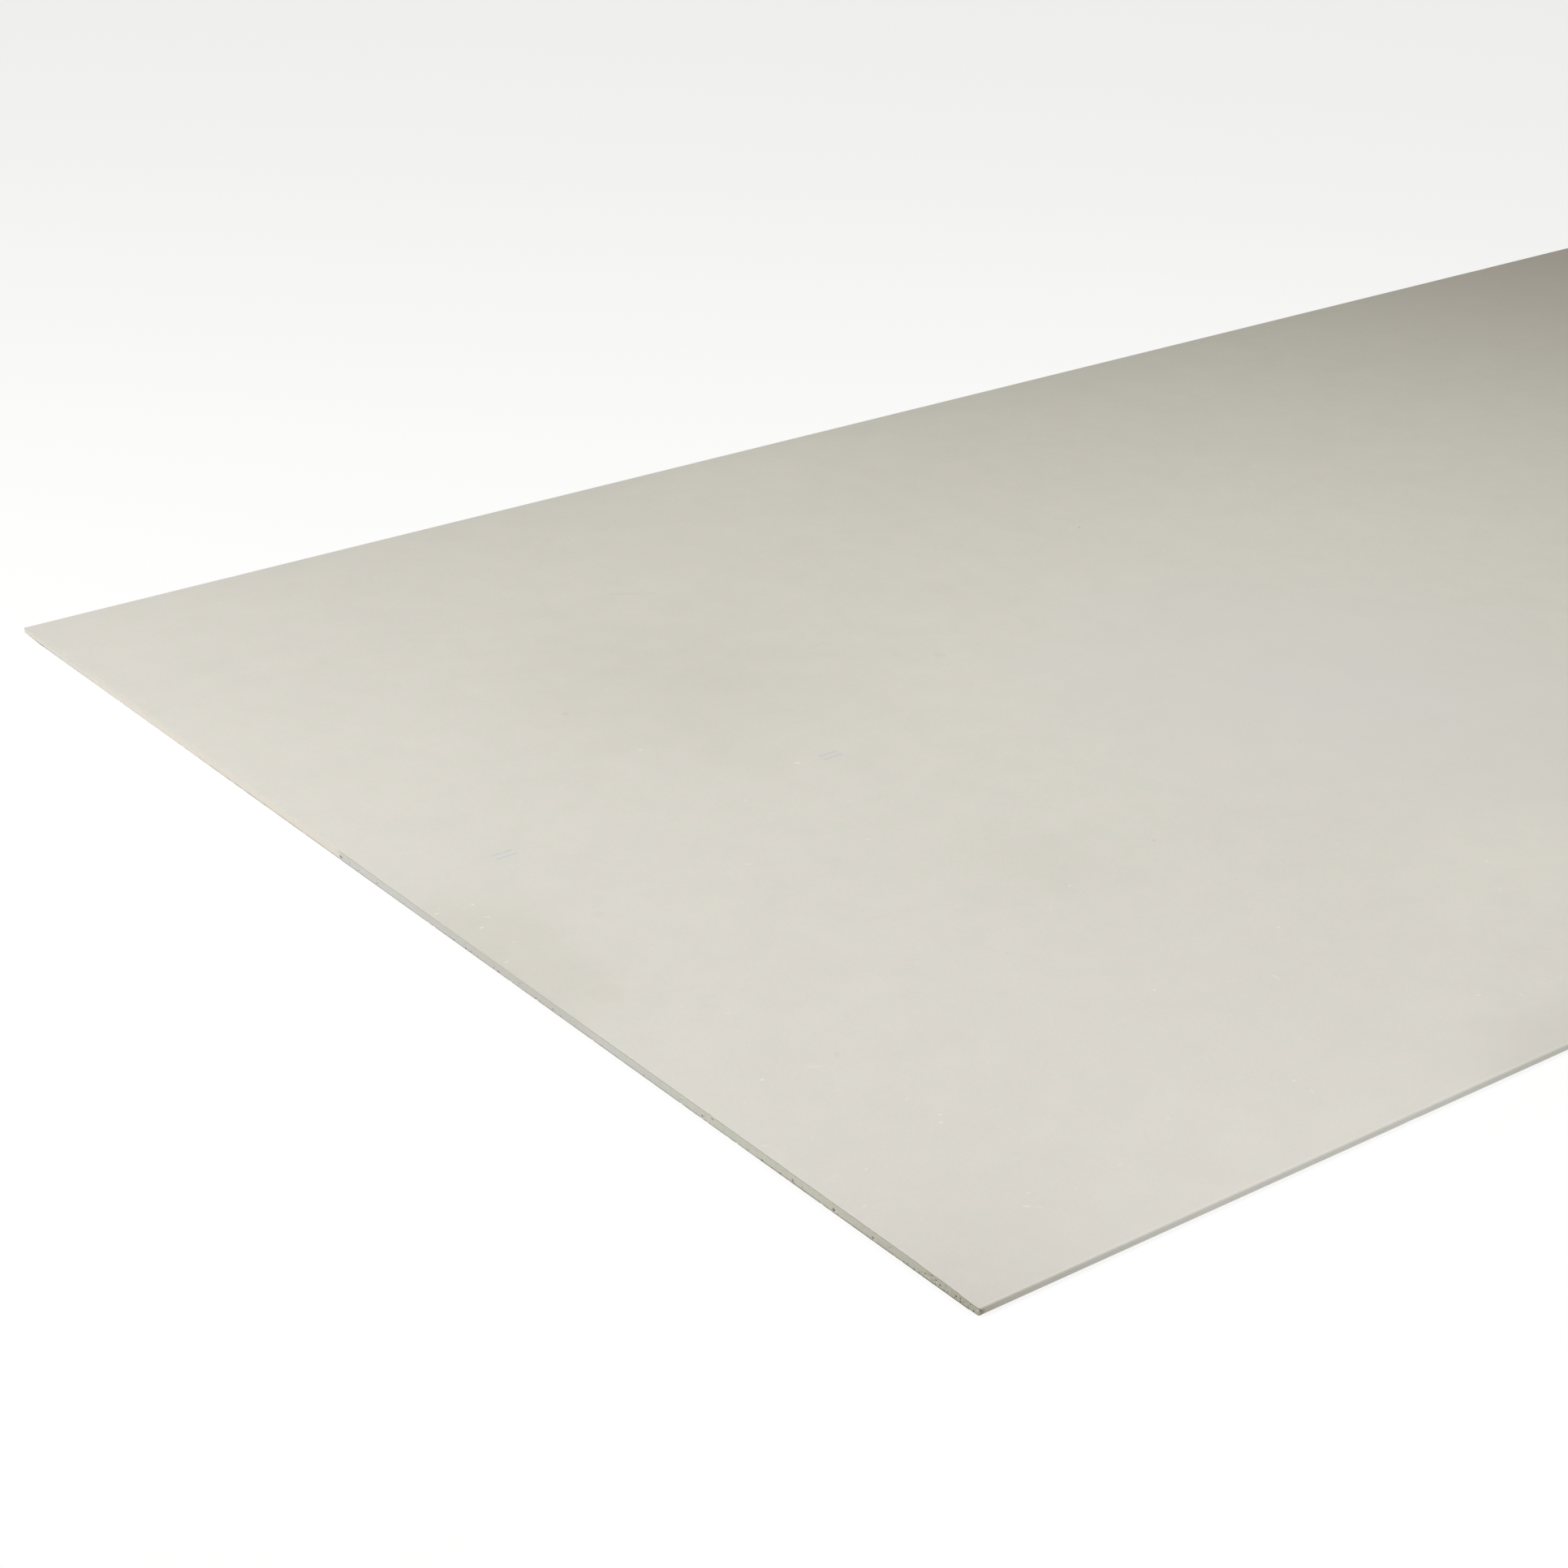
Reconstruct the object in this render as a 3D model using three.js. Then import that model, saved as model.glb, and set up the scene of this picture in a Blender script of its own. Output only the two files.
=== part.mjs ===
// A drywall sheet, 2400 x 1200 x 6.5 mm: a gypsum core cast between two papers.
//
// Millimetres, +Z up. The sheet lies on its back paper with its face up. The origin is the
// middle of the underside, +X runs along the sheet and +Y across it.
//
// The face paper covers the face, bends round both long edges and folds in under the core as
// a flap. The back paper is glued over the flaps, a little way in from each long edge. Both
// ends are cut square through all three layers. The face falls away in a shallow taper along
// each long edge, which leaves room for tape and filler in a joint.

import * as THREE from 'three';

// The whole sheet
const LENGTH = 2400;
const WIDTH = 1200;
const THICKNESS = 6.5;

// The papers
const FACE_PAPER = 0.35;
const BACK_PAPER = 0.3;
const FLAP_WIDTH = 25; // from a long edge to the end of the face paper's flap
const LAP_MARGIN = 8; // from a long edge to the edge of the back paper

// The long edges, measured on the outside of the face paper
const TAPER_WIDTH = 55;
const TAPER_DEPTH = 1.5;
const SHOULDER_RADIUS = 1.5; // bend from the face into the edge
const HEEL_RADIUS = 1.2; // bend from the edge into the flap
const BEND_SEGMENTS = 8;

const HALF_WIDTH = WIDTH / 2;
const TAPER_ANGLE = Math.atan2(TAPER_DEPTH, TAPER_WIDTH);

// Points along an arc in the section, both ends included. The section's x runs across the
// sheet and its y runs up.
function bend(centre, radius, startAngle, endAngle) {
  const points = [];
  for (let i = 0; i <= BEND_SEGMENTS; i += 1) {
    const angle = THREE.MathUtils.lerp(startAngle, endAngle, i / BEND_SEGMENTS);
    points.push(new THREE.Vector2(Math.cos(angle), Math.sin(angle)).multiplyScalar(radius).add(centre));
  }
  return points;
}

// One long edge of the section: from the end of the flap, round the heel, up the edge, over
// the shoulder and along the taper to where the flat face starts. inset is the depth under
// the outside of the paper, so 0 is its outer side and FACE_PAPER the side on the core.
function longEdge(inset) {
  const heelCentre = new THREE.Vector2(HALF_WIDTH - HEEL_RADIUS, BACK_PAPER + HEEL_RADIUS);

  // The shoulder's centre is as far under the taper's plane as its radius.
  const shoulderIn = TAPER_WIDTH - SHOULDER_RADIUS;
  const drop = (SHOULDER_RADIUS + shoulderIn * Math.sin(TAPER_ANGLE)) / Math.cos(TAPER_ANGLE);
  const shoulderCentre = new THREE.Vector2(HALF_WIDTH - SHOULDER_RADIUS, THICKNESS - drop);

  // The taper's plane meets the flat face on the line that halves the angle between them.
  const taperStart = HALF_WIDTH - TAPER_WIDTH - inset * Math.tan(TAPER_ANGLE / 2);

  return [
    new THREE.Vector2(HALF_WIDTH - FLAP_WIDTH, BACK_PAPER + inset),
    ...bend(heelCentre, HEEL_RADIUS - inset, -Math.PI / 2, 0),
    ...bend(shoulderCentre, SHOULDER_RADIUS - inset, 0, Math.PI / 2 - TAPER_ANGLE),
    new THREE.Vector2(taperStart, THICKNESS - inset),
  ];
}

// From one flap's end, over the face, to the other flap's end.
function wrap(inset) {
  const edge = longEdge(inset);
  const mirrored = edge.map((point) => new THREE.Vector2(-point.x, point.y)).reverse();
  return [...edge, ...mirrored];
}

// A section across the sheet becomes a prism that runs the sheet's length along X.
function prism(section) {
  const geometry = new THREE.ExtrudeGeometry(new THREE.Shape(section), {
    depth: LENGTH,
    bevelEnabled: false,
  });
  geometry.translate(0, 0, -LENGTH / 2);
  const across = new THREE.Vector3(0, 1, 0);
  const up = new THREE.Vector3(0, 0, 1);
  const along = new THREE.Vector3(1, 0, 0);
  return geometry.applyMatrix4(new THREE.Matrix4().makeBasis(across, up, along));
}

function facePaper() {
  const section = [...wrap(0), ...wrap(FACE_PAPER).reverse()];
  const paper = new THREE.MeshStandardMaterial({ color: 0xdad7cd, roughness: 0.85, metalness: 0 });
  const mesh = new THREE.Mesh(prism(section), paper);
  mesh.name = 'face_paper';
  return mesh;
}

// The core fills the face paper, and between the flaps it reaches down to the back paper.
function gypsumCore() {
  const flapEnd = HALF_WIDTH - FLAP_WIDTH;
  const section = [
    ...wrap(FACE_PAPER),
    new THREE.Vector2(-flapEnd, BACK_PAPER),
    new THREE.Vector2(flapEnd, BACK_PAPER),
  ];
  const gypsum = new THREE.MeshStandardMaterial({ color: 0xbcb9ab, roughness: 0.95, metalness: 0 });
  const mesh = new THREE.Mesh(prism(section), gypsum);
  mesh.name = 'gypsum_core';
  return mesh;
}

function backPaper() {
  const lapEdge = HALF_WIDTH - LAP_MARGIN;
  const section = [
    new THREE.Vector2(-lapEdge, 0),
    new THREE.Vector2(lapEdge, 0),
    new THREE.Vector2(lapEdge, BACK_PAPER),
    new THREE.Vector2(-lapEdge, BACK_PAPER),
  ];
  const liner = new THREE.MeshStandardMaterial({ color: 0xa89e8c, roughness: 0.9, metalness: 0 });
  const mesh = new THREE.Mesh(prism(section), liner);
  mesh.name = 'back_paper';
  return mesh;
}

const drywallSheet = new THREE.Group();
drywallSheet.name = 'drywall_sheet';
drywallSheet.add(gypsumCore(), facePaper(), backPaper());

export default drywallSheet;
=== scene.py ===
"""A thin gypsum lining board lying flat with its face up, finished around its CAD model.

Three pieces, glued for life: the cast core, the face paper that wraps it over both long edges,
and the back paper that laps over the face paper's flaps. +X runs along the board, +Y across it
and +Z up out of its face. Lengths are in millimetres until a vertex is made, but those of the
stage are in metres.
"""

import math
import random

import bmesh
import bpy
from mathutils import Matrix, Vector, noise


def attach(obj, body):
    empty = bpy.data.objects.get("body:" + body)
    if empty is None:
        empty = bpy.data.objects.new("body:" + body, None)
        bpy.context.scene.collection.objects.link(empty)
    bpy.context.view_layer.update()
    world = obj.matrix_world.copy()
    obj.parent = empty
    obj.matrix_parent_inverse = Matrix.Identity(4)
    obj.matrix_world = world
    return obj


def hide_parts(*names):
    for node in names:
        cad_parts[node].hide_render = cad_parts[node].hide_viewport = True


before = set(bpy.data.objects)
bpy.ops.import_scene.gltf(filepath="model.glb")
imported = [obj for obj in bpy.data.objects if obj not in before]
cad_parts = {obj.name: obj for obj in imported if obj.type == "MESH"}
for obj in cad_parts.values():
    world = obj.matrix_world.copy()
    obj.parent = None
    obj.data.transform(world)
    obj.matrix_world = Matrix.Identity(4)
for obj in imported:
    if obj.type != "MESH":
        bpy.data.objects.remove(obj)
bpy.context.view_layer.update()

MM = 0.001
SEED = 6512

# ------------------------------------------------------------------------------------------
# Sizes
# ------------------------------------------------------------------------------------------

# The whole board
LENGTH = 2400.0
WIDTH = 1200.0
THICKNESS = 6.5
HALF_LENGTH = LENGTH / 2
HALF_WIDTH = WIDTH / 2

# The papers
FACE_PAPER = 0.35
BACK_PAPER = 0.3
FLAP_WIDTH = 25.0  # from a long edge to the end of the face paper's flap
LAP_MARGIN = 8.0  # from a long edge to the edge of the back paper

# The long edges, measured on the outside of the face paper
TAPER_WIDTH = 55.0
TAPER_DEPTH = 1.5
SHOULDER_RADIUS = 1.5
HEEL_RADIUS = 1.2
TAPER_ANGLE = math.atan2(TAPER_DEPTH, TAPER_WIDTH)

# Centres of the two bends of a long edge
SHOULDER_Y = HALF_WIDTH - SHOULDER_RADIUS
SHOULDER_IN = TAPER_WIDTH - SHOULDER_RADIUS
SHOULDER_DROP = (SHOULDER_RADIUS + SHOULDER_IN * math.sin(TAPER_ANGLE)) / math.cos(TAPER_ANGLE)
SHOULDER_Z = THICKNESS - SHOULDER_DROP
HEEL_Y = HALF_WIDTH - HEEL_RADIUS
HEEL_Z = BACK_PAPER + HEEL_RADIUS

# Stretches of the face paper, from the middle of the face to the end of a flap
FLAT_RUN = HALF_WIDTH - TAPER_WIDTH
TAPER_RUN = (SHOULDER_IN + SHOULDER_RADIUS * math.sin(TAPER_ANGLE)) / math.cos(TAPER_ANGLE)
SHOULDER_RUN = SHOULDER_RADIUS * (math.pi / 2 - TAPER_ANGLE)
SIDE_RUN = SHOULDER_Z - HEEL_Z
HEEL_RUN = HEEL_RADIUS * math.pi / 2
FLAP_RUN = HEEL_Y - (HALF_WIDTH - FLAP_WIDTH)
WRAP_RUNS = (FLAT_RUN, TAPER_RUN, SHOULDER_RUN, SIDE_RUN, HEEL_RUN, FLAP_RUN)
WRAP_STEPS = (11, 3, 8, 3, 8, 3)  # steps in each stretch, away from the cut ends

# Distances from a cut end of the rows that follow its wear, and the spacing of all others
PAPER_ROWS = (0.0, 0.12, 0.3, 0.65, 1.3, 2.6, 5.0)
CORE_ROWS = (0.0, 0.5, 1.6, 5.0)
STATION_SPACING = 24.0
DENT_SPACING = 4.0
CUT_SPACING = 1.6  # between the points along a cut
NICK_SPACING = 0.4  # and where it is nicked or pitted

# Parts of the meshes
FLAP_STEP = 0.02  # half the width of the step in the core at a flap's end
TAPER_COLUMNS = (560.0, 590.0)  # places across the core's taper that have a row of their own
CORE_BEND_STEPS = 6
CORE_LEVELS = 14
LAP_STEPS = 12
SHARP_ANGLE = 38.0  # faces that meet at more degrees than this keep a sharp edge

# ------------------------------------------------------------------------------------------
# Wear
# ------------------------------------------------------------------------------------------

# How far the face's arris is pressed down at a cut end, and how far in from the cut that starts
SHARP_PRESS, SHARP_REACH = 0.1, 0.5
SOFT_PRESS, SOFT_REACH = 0.12, 0.6
SOFT_FROM, SOFT_TO = 70.0, 150.0  # where the near cut end's arris turns from sharp to soft
PRESS_SWING = 0.3  # by this share it varies along the cut
PRESS_FROM = 1.0  # height in the board above which it is felt

# The foot of the near cut end's far corner is worn up off the ground: by how much, how far in
# from the cut, and from where along it
CORNER_LIFT, CORNER_LIFT_REACH = 0.9, 3.0
CORNER_LIFT_FROM = 560.0

# Radius of each corner seen from above, by the signs of its x and y
CORNER_RADIUS = {(-1, -1): 2.2, (-1, 1): 1.5, (1, -1): 2.0, (1, 1): 1.6}
CORNER_RUN = 4.0  # how far along the long edge it reaches, for each millimetre of radius

EDGE_DEPTH = 7.0  # how far in from a long edge its dents reach
EDGE_WAVER = 0.09  # and how much its line wavers
# (side of the board, x, half length, depth) of each dent in a long edge
EDGE_DENTS = (
    (-1, -865.0, 9.0, 0.22),
    (-1, -470.0, 16.0, 0.3),
    (-1, 215.0, 12.0, 0.35),
    (-1, 940.0, 20.0, 0.28),
    (1, -1010.0, 14.0, 0.3),
    (1, -260.0, 10.0, 0.22),
    (1, 530.0, 18.0, 0.4),
    (1, 1120.0, 8.0, 0.3),
)

# (length, place in the noise) of the waves in things that vary along a line
ARRIS_WAVES = (23.0, 4.1)
EDGE_WAVES = (140.0, 9.3)
LAP_WAVES = (34.0, 5.0)
FUZZ_WAVES = (2.1, 0.0)
FINE_FUZZ_WAVES = (0.8, 3.3)
FUZZ_SHARE, FINE_FUZZ_SHARE = 0.6, 0.5  # of the depth of the fuzz, with these waves
NOISE_SLANT = 0.37  # keeps the noise at one place from being the noise at another, moved along

# (depth, place in the noise) of the fuzz on the cut of each paper
FACE_FUZZ = (0.12, 2.0)
LINER_FUZZ = (0.14, 7.0)
FUZZ_RUN = 3.0  # a fuzzy or nicked cut is pushed in by this many times its depth
LEAST_FUZZ_RUN = 0.4

# (seed, count, half widths, depths) of the bites strewn along the cuts of each paper, by end
FACE_NICKS = {
    -1: (SEED + 1, 14, (0.8, 2.4), (0.1, 0.35)),
    1: (SEED + 2, 14, (0.8, 3.0), (0.2, 0.8)),
}
LINER_NICKS = {
    -1: (SEED + 3, 26, (0.8, 2.5), (0.08, 0.35)),
    1: (SEED + 4, 26, (0.8, 3.5), (0.2, 0.8)),
}
NICK_MARGIN = 4.0  # they keep this far from the long edges

# (place along the cut, half width, depth) of the bites near the near corner
CORNER_NICKS = ((-574.0, 9.0, 0.2), (-581.5, 2.2, 0.24), (-567.0, 3.0, 0.12))

# The back paper's long edges waver by this much, and its mesh follows them this far in
LAP_WAVER, LAP_REACH = 1.4, 40.0

CUT_RECESS = 0.05  # how far the core stands in behind the papers' cuts
ARRIS_LIMIT = 0.32  # and the most that it stands in where a paper holds it
# (size across, size up, place in the noise, depth) of the core's torn relief
TORN_RELIEF = ((5.0, 2.2, 1.7, 0.14), (1.1, 0.9, 8.2, 0.07))

PIT_ROOM = 3.0  # the voids and crumbs lie within this distance of a cut end
RIM_SIZE, RIM_SWING = 0.6, 0.3  # size and share of the raggedness of their rims
VOID_DEPTH = 0.9  # depth of a void, for its radius
CRUMB_HEIGHT = 0.16
CRUMB_SHOULDER = 0.6  # share of the way to its middle at which a crumb has its whole height
CRUMB_RIM = (-0.1, 0.35)  # between these shares its colour sets in

# (seed, count, (from, to)) of the voids strewn over each cut end. Those of the near one fill
# the stretch that has few placed ones.
STREWN_VOIDS = {
    -1: (SEED + 5, 20, (-425.0, -110.0)),
    1: (SEED + 6, 75, (6.0 - HALF_WIDTH, HALF_WIDTH - 6.0)),
}
VOID_HEIGHTS = (0.7, 5.0)
VOID_RADII = (0.25, 0.52)
CRUMB_CHANCE = 0.4  # that a strewn void has a crumb beside it
CRUMB_OFFSET = (-1.1, -0.6)
CRUMB_RADII = (0.35, 0.55)

# (y, z, radius) of the voids that the near cut end has towards the near corner
CORNER_VOIDS = (
    (86.8, 2.25, 0.8),
    (85.4, 2.1, 0.6),
    (74.4, 2.6, 0.3),
    (61.5, 1.6, 0.45),
    (37.2, 2.0, 0.35),
    (0.8, 1.2, 0.35),
    (-57.8, 0.9, 0.35),
    (-62.9, 0.8, 0.55),
    (-77.3, 0.75, 0.4),
    (-84.3, 0.75, 0.4),
    (-92.1, 0.7, 0.35),
    (-391.0, 1.4, 0.4),
    (-421.1, 0.7, 0.4),
    (-433.2, 1.9, 0.65),
    (-434.2, 1.5, 0.5),
    (-442.4, 1.75, 0.35),
    (-471.9, 1.8, 1.05),
    (-507.4, 1.75, 0.64),
    (-522.9, 3.35, 0.4),
    (-535.2, 0.75, 0.4),
    (-538.3, 0.95, 0.45),
    (-544.2, 0.9, 0.45),
    (-548.8, 1.1, 0.4),
    (-550.6, 2.4, 0.3),
    (-553.8, 2.9, 0.62),
    (-557.0, 3.7, 0.3),
    (-559.5, 4.7, 0.5),
    (-560.2, 2.25, 0.4),
    (-562.6, 0.95, 0.35),
    (-563.0, 3.4, 0.54),
    (-566.5, 2.1, 0.6),
    (-569.9, 0.75, 0.4),
    (-571.5, 3.9, 0.3),
    (-573.0, 1.3, 0.4),
    (-576.6, 2.0, 0.3),
    (-579.2, 0.8, 0.4),
    (-580.2, 2.5, 0.7),
    (-583.8, 3.1, 0.5),
    (-583.9, 1.2, 0.5),
    (-586.6, 2.3, 0.35),
    (-588.6, 3.6, 0.3),
    (-590.4, 1.4, 0.35),
    (-592.3, 3.9, 0.5),
    (-595.0, 1.0, 0.55),
    (-599.5, 3.3, 0.4),
)

# (y, z, radius) of the pale crumbs that cling to it there
CORNER_CRUMBS = (
    (-391.9, 0.9, 0.4),
    (-434.9, 2.6, 0.4),
    (-443.4, 1.2, 0.4),
    (-473.8, 1.2, 0.7),
    (-509.6, 1.25, 0.55),
    (-523.9, 2.9, 0.5),
    (-554.3, 1.8, 0.6),
    (-556.4, 1.5, 0.6),
    (-560.9, 3.2, 0.4),
    (-563.7, 2.6, 0.6),
    (-581.6, 3.3, 0.4),
    (-598.2, 3.2, 0.6),
)

# ------------------------------------------------------------------------------------------
# Finishes
# ------------------------------------------------------------------------------------------

IVORY_ROSE = (0.667, 0.637, 0.580)
IVORY_MOSS = (0.652, 0.641, 0.571)
CHALK = (0.80, 0.79, 0.75)
BLEACHED = (0.80, 0.775, 0.695)
TANNED = (0.69, 0.62, 0.565)
BLUED = (0.655, 0.635, 0.605)
CREAM = (0.727, 0.682, 0.600)
GYPSUM = (0.596, 0.594, 0.512)
FINE_DUST = (0.61, 0.605, 0.665)
# Painted shade, partly dirt, inside the core's voids and pores; also the back liner's dark chips
VOID_GREY = (0.085, 0.08, 0.06)
PLY_BUFF = (0.38, 0.35, 0.275)
PLY_BROWN = (0.17, 0.145, 0.105)
# Also the back liner's cut, where its darkness is partly painted contact shadow along the foot
PLY_GREY = (0.15, 0.14, 0.11)
SCUFF_BROWN = (0.28, 0.24, 0.15)
LINER = (0.34, 0.30, 0.23)
# Grime and painted shade on the long sides
GRIME_AND_SHADE = (0.34, 0.41, 0.35)
# Dark brown for the painted contact shadow along the cuts' feet, and for the darkening towards the near
# long edge's corners
DARK_BROWN = (0.15, 0.12, 0.065)
CORNER_BROWN = (0.19, 0.165, 0.085)
DARK_IVORY = (0.54, 0.522, 0.456)
PRINT_BLUE = (0.46, 0.52, 0.585)
SMUDGE = (0.56, 0.52, 0.44)

# Two pairs of plain dashes on the centre line, for setting out
DASH_CENTRES = ((-1112.0, 14.0), (-831.0, 9.0))
DASH_OFFSETS = (-3.2, 3.2)
DASH_HALF_SIZE = (8.5, 1.1, 50.0)
DASH_STRENGTH = 0.42
DASH_RAGGED = 0.6  # how far the grain moves its edges, to either side
DASH_RIM = 0.25  # half the width over which they fade

# (noise's size, noise's detail, share) by which each colour is made lighter and darker
FACE_TONES = ((260.0, 2.0, 0.02), (1.9, 2.0, 0.03))
CORE_TONES = ((45.0, 2.0, 0.05),)
LINER_TONES = ((190.0, 2.0, 0.05),)

# The clouds and fibres of each paper
FACE_WEB = {"cloud_size": 38.0, "fibre_width": 0.28}
LINER_WEB = {"cloud_size": 11.0, "fibre_width": 0.45}

# The powder that the cuts left near the ends of each paper
FACE_DUST = {"reach": 50.0, "amount": 0.1}
LINER_DUST = {"reach": 90.0, "amount": 0.6}

CLOUD_HEIGHT = 50.0  # tall enough to take in the whole thickness of the board
# (x, y, half length, half width, strength, colour) of broad, soft clouds in the board's tone
CLOUDS = (
    (-1200.0, -115.0, 110.0, 175.0, 0.44, DARK_IVORY),
    (-1204.0, -165.0, 9.0, 140.0, 0.4, DARK_IVORY),
    (-850.0, 190.0, 210.0, 240.0, 0.29, DARK_IVORY),
    (-830.0, -220.0, 120.0, 120.0, 0.16, DARK_IVORY),
    (-720.0, -605.0, 120.0, 85.0, 0.42, DARK_IVORY),
    (-500.0, 570.0, 210.0, 150.0, 0.22, BLEACHED),
    (-530.0, -420.0, 170.0, 160.0, 0.2, BLEACHED),
    (-420.0, -120.0, 320.0, 380.0, 0.5, BLUED),
    (560.0, 480.0, 360.0, 330.0, 0.45, TANNED),
)

SPOT_HEIGHT = 5.0  # low enough to keep the face's marks off the back
# (x, y, half length, half width, turn in degrees, strength, colour) of marks on the face
FACE_SPOTS = (
    (-1171.0, -58.0, 3.0, 1.2, -40.0, 0.42, BLEACHED),
    (-1182.0, -69.0, 2.2, 1.4, 10.0, 0.65, BLEACHED),
    (-1176.0, -99.0, 2.0, 0.8, -35.0, 0.45, BLEACHED),
    (-1194.0, -119.0, 2.2, 1.1, 0.0, 0.55, BLEACHED),
    (-1169.0, -37.0, 2.0, 1.0, 20.0, 0.7, BLEACHED),
    (-1195.0, -34.0, 2.4, 1.3, 0.0, 0.5, BLEACHED),
    (-1191.0, -28.5, 1.4, 0.9, 30.0, 0.3, BLEACHED),
    (-1119.0, -259.0, 3.4, 0.8, -40.0, 0.4, BLEACHED),
    (-1117.0, -344.0, 5.5, 2.2, -35.0, 0.22, BLEACHED),
    (-1151.0, -338.0, 1.9, 1.5, 0.0, 0.6, BLEACHED),
    (-1061.0, -370.0, 2.4, 0.7, -40.0, 0.15, BLEACHED),
    (-1195.0, -400.0, 2.6, 1.8, 0.0, 0.3, BLEACHED),
    (-1167.0, -409.0, 2.0, 1.2, 0.0, 0.25, BLEACHED),
    (-1095.0, -408.0, 1.4, 1.0, 40.0, 0.4, BLEACHED),
    (-1091.0, -434.0, 1.7, 1.0, -30.0, 0.7, BLEACHED),
    (-1096.0, -441.0, 1.9, 1.1, -30.0, 0.7, BLEACHED),
    (-1182.0, -450.0, 2.6, 1.4, 60.0, 0.22, BLEACHED),
    (-1163.0, -455.0, 2.2, 1.3, 60.0, 0.33, BLEACHED),
    (-1188.0, -485.0, 1.8, 1.1, 0.0, 0.5, BLEACHED),
    (-1105.0, -530.0, 1.6, 1.1, 0.0, 0.6, BLEACHED),
    (-1115.0, -540.0, 2.8, 1.2, -40.0, 0.55, BLEACHED),
    (-1109.0, -545.0, 2.0, 1.0, -40.0, 0.3, BLEACHED),
    (-1043.0, -539.0, 1.4, 0.9, 0.0, 0.5, BLEACHED),
    (-986.0, -99.0, 3.4, 0.9, -40.0, 0.6, BLEACHED),
    (-859.0, 13.0, 3.2, 1.1, -38.0, 1.0, BLEACHED),
    (-927.0, -16.0, 1.8, 1.0, 0.0, 0.5, BLEACHED),
    (-896.0, -118.0, 1.8, 1.1, 0.0, 0.6, BLEACHED),
    (-938.0, 101.0, 2.8, 1.1, -30.0, 0.55, BLEACHED),
    (-831.0, -256.0, 2.2, 1.2, 0.0, 0.5, BLEACHED),
    (-931.0, -365.0, 1.8, 1.0, 0.0, 0.15, BLEACHED),
    (-885.0, -398.0, 1.7, 1.1, 0.0, 0.6, BLEACHED),
    (-811.0, -432.0, 5.0, 0.9, 88.0, 0.5, BLEACHED),
    (-761.0, -384.0, 1.8, 1.0, 0.0, 0.5, BLEACHED),
    (-985.0, -518.0, 3.4, 0.8, 80.0, 0.4, BLEACHED),
    (-895.0, -532.0, 2.0, 1.3, 0.0, 0.55, BLEACHED),
    (-895.0, -547.0, 3.4, 0.8, 70.0, 0.4, BLEACHED),
    (-725.0, -526.0, 2.4, 1.0, -40.0, 0.5, BLEACHED),
    (-703.0, -542.0, 3.4, 1.1, 80.0, 0.3, BLEACHED),
    (-577.0, -400.0, 2.2, 1.4, 0.0, 0.7, BLEACHED),
    (-602.0, -435.0, 1.9, 1.2, 0.0, 0.5, BLEACHED),
    (-767.0, 362.0, 25.0, 2.3, -33.5, 0.22, SMUDGE),
    (-1166.0, -192.0, 17.0, 15.0, 20.0, 0.16, SMUDGE),
    (-1110.0, -99.0, 6.0, 6.0, 0.0, 0.14, SMUDGE),
    (-946.0, 188.5, 3.8, 4.0, 0.0, 0.32, SMUDGE),
    (-646.0, 108.0, 6.0, 6.0, 0.0, 0.2, SMUDGE),
    (-1096.0, -341.0, 5.5, 2.2, 52.0, 0.05, PLY_GREY),
    (-366.0, 256.0, 1.4, 1.0, 0.0, 0.6, PLY_GREY),
    (-711.0, 181.5, 2.6, 1.2, -35.0, 0.07, PLY_GREY),
    (-723.5, 171.0, 2.6, 1.2, -35.0, 0.07, PLY_GREY),
    (-737.5, -239.0, 2.2, 1.7, 0.0, 0.12, PLY_GREY),
)

# Half length of the rubbed patch at each corner of the wrap, by the signs of its x and y
CORNER_SCUFFS = {(-1, -1): 4.6, (-1, 1): 1.4, (1, -1): 3.4, (1, 1): 2.0}
SCUFF_HEIGHT = 2.2  # of its middle
SCUFF_REACH = 3.0  # up and down from there
SCUFF_DEPTH = 0.5  # in from the long edge, for its half length

# The long edges: shares of grime and painted shade on the side, and of the rub, partly a painted
# highlight, over its shoulder
SIDE_REACH = 1.5  # the grime and painted shade reach this far in over the face
SIDE_GRIME_AND_SHADE = 0.30
SHOULDER_RUB_AND_HIGHLIGHT = 0.34
SIDE_FROM, SIDE_TO = HALF_WIDTH - 1.2, HALF_WIDTH - 0.15  # the face has turned into the side
# The paler band over the shoulder, partly a rub and partly a painted highlight, sets in and fades at
# these distances from the long edge, and above these heights
SHOULDER_BAND_OUTER, SHOULDER_BAND_INNER = (0.02, 0.2), (2.2, 1.0)
SHOULDER_BAND_HEIGHTS = (SHOULDER_Z - 0.2, SHOULDER_Z + 0.3)

# Darkening towards both corners of the near long edge: how far it reaches, and its shares
PAPER_CORNER_REACH, FACE_CORNER_SHARE, SIDE_CORNER_SHARE = 95.0, 0.16, 0.43
CUT_CORNER_REACH, CUT_CORNER_SHARE = 84.0, 0.41

# The near cut end is paler and creamier from PALE_FROM to its far corner, with a rim that wanders
PALE_FROM = 90.0
PALE_RIM = (-6.0, 8.0)  # from none to whole, on either side of there
PALE_WANDER, PALE_WANDER_SIZE = 12.0, 9.0
PALE_THINS = (455.0, 505.0)  # between these places it grows thinner
PALE_SHARES = (0.95, 0.66)  # before and after that
PALE_SINKS = (250.0, 450.0)  # between these places it leaves the upper part of the core
PALE_HEIGHTS = (2.4, 5.8)  # from whole to least
PALE_LEFT = 0.66  # what is left there

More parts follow.
